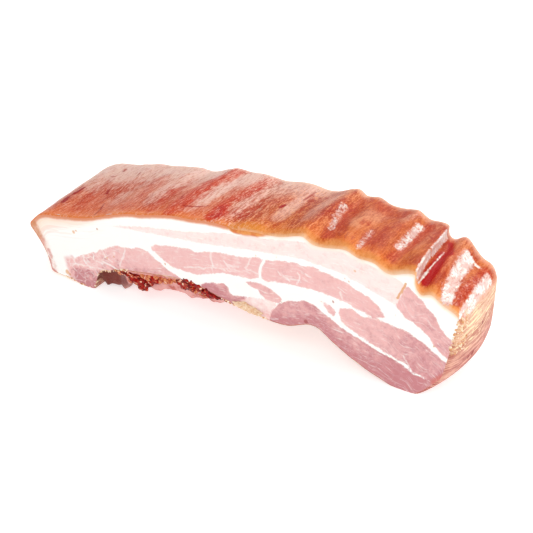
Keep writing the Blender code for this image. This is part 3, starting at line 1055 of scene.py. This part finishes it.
def make_cut_material():
    """The knife-cut front: white fat and pink lean, the rind's cut edge above, and stains."""
    graph = Graph("cut_pork")
    front_x, below_rind = graph.fact("front_x"), graph.fact("below_rind")
    lean_colours = (rgb(251, 231, 226), rgb(239, 187, 184), rgb(200, 127, 132))
    meat = fat_and_lean(graph, rgb(255, 255, 251), *lean_colours)
    wavy = graph.noise(4, 2, 0.5)
    below = wavy + below_rind - 0.5
    to_the_left = front_x.step(-128, -60, 1, 0)
    streaks = graph.noise(1.5, 2, 0.6, 0.3, place=graph.layer_place(0.06, 0.3))
    streaks = streaks.step(0.48, 0.62, 0, 0.8) * below.step(4, 20, to_the_left, 0)
    meat = streaks.mix(meat, rgb(250, 214, 204))
    glow = (below / to_the_left.blend(4, 13)).step(0.3, 1, 0.75, 0)
    meat = glow.mix(meat, to_the_left.mix(rgb(253, 240, 229), rgb(252, 222, 200)))

    # The rind's cut edge, amber at the lip and pale to the right of it
    past_the_lip = front_x.step(30, 40)
    soft = past_the_lip.blend(0.9, 1.3)
    band = (below - graph.fact("rind_band")).step(soft * -1, soft, 1, 0)
    amber = wavy.step(0.4, 0.6).mix(rgb(220, 120, 50), rgb(232, 152, 74))
    band_colour = front_x.step(9, 13).mix(rgb(224, 144, 106), amber)
    meat = band.mix(meat, past_the_lip.mix(band_colour, rgb(248, 208, 172)))

    # The fibre and the flecks
    crumbly = graph.noise(1.4, 3, 0.7)
    speckled = crumbly * 0.8 - 0.4
    fibre = (graph.fact("fibre") + speckled).step(0.35, 0.75, 0, 0.8)
    meat = fibre.mix(meat, rgb(222, 152, 88))
    fleck_colour = graph.fact("fleck_kind").mix(rgb(230, 160, 80), rgb(160, 44, 42))
    meat = graph.fact("fleck").step(0.2, 0.8, 0, 0.7).mix(meat, fleck_colour)

    # The pink left rim, the stains of both ends, and the browned fringe along the lower edge
    from_left = graph.fact("layer_along") - wavy * 5 - crumbly * 2 + 2.6
    pinkish = from_left.step(0, 9, 1, 0) * below_rind.step(14, 24, 0.7, 0.2)
    meat = pinkish.mix(meat, rgb(244, 196, 176))
    meat = from_left.step(0, 1.2, 0.7, 0).mix(meat, rgb(196, 118, 84))
    stain_colour = below_rind.step(8, 16, 1, 0).mix(rgb(208, 112, 100), rgb(206, 130, 80))
    stain = (graph.fact("stain") + speckled).step(0.1, 1, 0, 0.85)
    meat = stain.mix(meat, stain_colour)
    fringe = (graph.fact("above_under") + crumbly * 2.6 - 1.7).step(-0.2, 0.9, 0.85, 0)
    meat = fringe.mix(meat, wavy.step(0.4, 0.6).mix(rgb(178, 96, 66), rgb(218, 152, 96)))

    grain = graph.noise(0.8, 3, 0.6)
    fibres = graph.noise(1.2, 3, 0.7, 0.6, place=graph.layer_place(0.2, 1))
    return graph.surface({
        "Base Color": meat,
        "Normal": graph.bumps((fibres, 0.3, 0.3), (grain, 0.25, 0.2)),
        "Roughness": grain.step(0.3, 0.7, 0.38, 0.55),
        "Subsurface Weight": 0.2,
        "Subsurface Radius": (1, 0.5, 0.35),
        "Subsurface Scale": 0.0015,
    })


def torn_colour(graph, stains, speckled):
    """The torn strip: pink meat with amber fat and dark jelly in spots."""
    colour = stains.step(0.35, 0.55).mix(rgb(196, 96, 84), rgb(232, 166, 160))
    amber = (graph.fact("amber_fat") + speckled).step(0.3, 0.6)
    colour = amber.mix(colour, rgb(228, 152, 86))
    jelly = (graph.fact("jelly") + speckled).step(0.25, 0.5)
    return jelly.mix(colour, rgb(140, 4, 4))


def make_smoked_material():
    """The ends, the back and the underside: the same meat under a dry crust in layers."""
    graph = Graph("smoked_side")
    front_x, below_rind = graph.fact("front_x"), graph.fact("below_rind")
    lean_colours = (rgb(222, 156, 132), rgb(208, 140, 120), rgb(172, 102, 92))
    meat = fat_and_lean(graph, rgb(232, 188, 158), *lean_colours)
    layers = graph.noise(1.5, 3, 0.7, 0.3, place=graph.layer_place(0.11, 0.09))
    meat = layers.step(0.52, 0.64, 0, 0.7).mix(meat, rgb(196, 118, 88))
    cream = layers.step(0.37, 0.48, 0.85, 0) * graph.fact("from_back").step(2, 20, 0.6, 1)
    meat = cream.mix(meat, rgb(254, 236, 190))
    seams = abs(layers - 0.49).step(0.006, 0.03, 0.6, 0)
    meat = seams.mix(meat, rgb(190, 108, 66))
    stains = graph.noise(7, 4, 0.65)
    meat = stains.step(0.55, 0.75, 0, 0.3).mix(meat, rgb(200, 126, 84))
    crumbs = graph.noise(1.3, 3, 0.7)
    meat = crumbs.step(0.6, 0.72, 0, 0.4).mix(meat, rgb(255, 240, 196))

    # The rind's side, with painted glints of glare where it runs over the right end
    in_rind = (crumbs * 1.6 + below_rind).step(3.2, 4.2, 1, 0)
    rind_side = layers.step(0.4, 0.6).mix(rgb(230, 176, 152), rgb(206, 130, 100))
    meat = in_rind.mix(meat, rind_side)
    glints = painted_wet_glare(graph)[1] * below_rind.step(1.5, 3.5, 0.9, 0)
    glints = glints * graph.fact("from_front").step(1, 12, 0.1, 1)
    meat = glints.mix(meat, painted_glare_colour(graph))

    # The torn strip, the lean low on the right end, its red spots, and painted shade in the hollow, darker
    # higher up and further left
    speckled = crumbs * 0.6 - 0.3
    torn = (crumbs * 0.4 + graph.fact("torn") - 0.2).step(0.2, 0.5)
    meat = torn.mix(meat, torn_colour(graph, stains, speckled))
    low = (stains * 14 + graph.fact("above_under")).step(16, 24, 0.85, 0) * front_x.step(112, 124)
    meat = low.mix(meat, layers.step(0.42, 0.58).mix(rgb(220, 156, 140), rgb(178, 98, 90)))
    end_spot = (graph.fact("end_spot") + speckled).step(0.3, 0.65, 0, 0.85)
    meat = end_spot.mix(meat, rgb(146, 34, 22))
    # Painted shade in the hollow beside the foot
    painted_shade_depth = (graph.place_on("Z") - front_x * 0.45).step(29, 40)
    hollow = (graph.fact("hollow") + speckled).step(0.2, 0.7, 0, 0.9)
    meat = hollow.mix(meat, painted_shade_depth.mix(rgb(206, 146, 134), rgb(112, 36, 30)))

    grain = graph.noise(1.6, 4, 0.65)
    normal = graph.bumps((layers, 0.5, 0.8), (grain, 0.6, 0.8))
    return graph.surface({
        "Base Color": meat,
        "Normal": normal,
        "Coat Normal": normal,
        "Roughness": torn.blend(grain.step(0.3, 0.7, 0.35, 0.6), 0.3),
        "Specular IOR Level": 0.15,
        "Coat Weight": torn * 0.15,
        "Coat Roughness": 0.12,
        "Subsurface Weight": 0.1,
        "Subsurface Radius": (1, 0.5, 0.3),
        "Subsurface Scale": 0.0015,
    })


def make_lump_material(name, dark, light, shine):
    """Wet lumps, dark jelly or amber fat, with orange patches and small painted glints on them."""
    graph = Graph(name)
    colour = graph.noise(2.2, 3, 0.6).step(0.4, 0.62).mix(dark, light)
    orange_and_painted_glints = graph.noise(2.2, 3, 0.65, scale=(0.7, 1, 1.1))
    # Orange patches of the jelly, and painted white glints where the same noise is highest
    colour = orange_and_painted_glints.step(0.54, 0.62, 0, 0.7).mix(colour, rgb(226, 112, 66))
    return graph.surface({
        "Base Color": orange_and_painted_glints.step(0.62, 0.66, 0, 0.95).mix(colour, rgb(255, 226, 204)),
        "Normal": graph.bumps((graph.noise(1.3, 2, 0.5), 0.5, 0.5)),
        "Roughness": shine,
        "Specular IOR Level": 0.15,
    })


def make_crust_material():
    """Dry crust, from cream through gold to brown by its tint."""
    graph = Graph("dry_crust")
    grain = graph.noise(1.1, 4, 0.7, scale=(0.6, 1, 1))
    tint = (grain - 0.5) * 1.2 + graph.fact("tint")
    colour = tint.step(0, 0.55).mix(rgb(252, 230, 202), rgb(222, 162, 112))
    return graph.surface({
        "Base Color": tint.step(0.5, 1).mix(colour, rgb(160, 94, 64)),
        "Normal": graph.bumps((grain, 0.5, 0.3)),
        "Roughness": 0.5,
        "Specular IOR Level": 0.3,
    })


def make_floor():
    bpy.ops.mesh.primitive_plane_add(size=6, location=(0, 0, 0))
    floor = bpy.context.object
    floor.name = "floor"
    floor.data.materials.append(Graph("pale_floor").surface({
        "Base Color": (0.65, 0.65, 0.65),
        "Roughness": 0.9,
        "Specular IOR Level": 0.1,
        "Emission Color": (1, 1, 1),
        "Emission Strength": 0.6,
    }))


# The lights: name, place, where each aims, width, height and power
LIGHTS = (
    ("front_softbox", (0.22, -0.9, 1), (0, 0, 0.04), 1, 0.8, 7),
    ("top_softbox", (-0.1, 0, 1.1), (0, 0, 0.04), 1, 0.8, 0.5),
    ("right_softbox", (0.85, 0.15, 0.5), (0.1, 0, 0.05), 0.6, 0.5, 3.5),
    ("back_softbox", (0.04, 0.8, 0.66), (0.02, 0, 0.05), 0.75, 0.22, 5.5),
)
LIGHT_COLOUR = (1, 0.99, 0.97)
SKY_STRENGTH = 0.42


def make_lights():
    world = bpy.data.worlds.new("studio")
    world.use_nodes = True
    sky = world.node_tree.nodes["Background"]
    sky.inputs["Color"].default_value = (1, 1, 1, 1)
    sky.inputs["Strength"].default_value = SKY_STRENGTH
    bpy.context.scene.world = world
    for name, place, aim, width, height, power in LIGHTS:
        light = bpy.data.lights.new(name, "AREA")
        light.shape = "RECTANGLE"
        light.size = width
        light.size_y = height
        light.energy = power
        light.color = LIGHT_COLOUR
        holder = add_object(name, light)
        holder.location = place
        holder.rotation_euler = (Vector(aim) - Vector(place)).to_track_quat("-Z", "Y").to_euler()


# The camera: where it stands and how it looks, as the photograph's view was fitted
CAMERA_MM = (266, -444.9, 319.5)
CAMERA_TURN = 30
CAMERA_TILT_DOWN = 30.1
LENS_MM = 66
SENSOR_MM = 36


def make_camera():
    camera = bpy.data.cameras.new("camera")
    camera.lens = LENS_MM
    camera.sensor_width = SENSOR_MM
    camera.clip_start = 0.01
    holder = add_object("camera", camera)
    holder.location = Vector(CAMERA_MM) * METRES_PER_MM
    holder.rotation_euler = (math.radians(90 - CAMERA_TILT_DOWN), 0, math.radians(CAMERA_TURN))
    bpy.context.scene.camera = holder


slab, slab_places, slab_facts = make_slab()
for make_material in (make_cut_material, make_rind_material, make_smoked_material):
    slab.data.materials.append(make_material())
jelly_material = make_lump_material("dark_jelly", rgb(100, 0, 0), rgb(168, 16, 6), 0.1)
amber_material = make_lump_material("amber_fat", rgb(176, 70, 44), rgb(226, 148, 100), 0.2)
crust_material = make_crust_material()
pieces = (
    slab,
    make_lumps("jelly_lumps", JELLY, jelly_material),
    make_lumps("amber_lumps", AMBER_FAT, amber_material),
    make_flake(crust_material),
    make_crumbs(slab_places, slab_facts, crust_material),
)
for piece in pieces:
    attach(piece, "root")
    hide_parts("bacon_slab")

make_floor()
make_lights()
make_camera()
bpy.context.scene.view_settings.view_transform = "Standard"
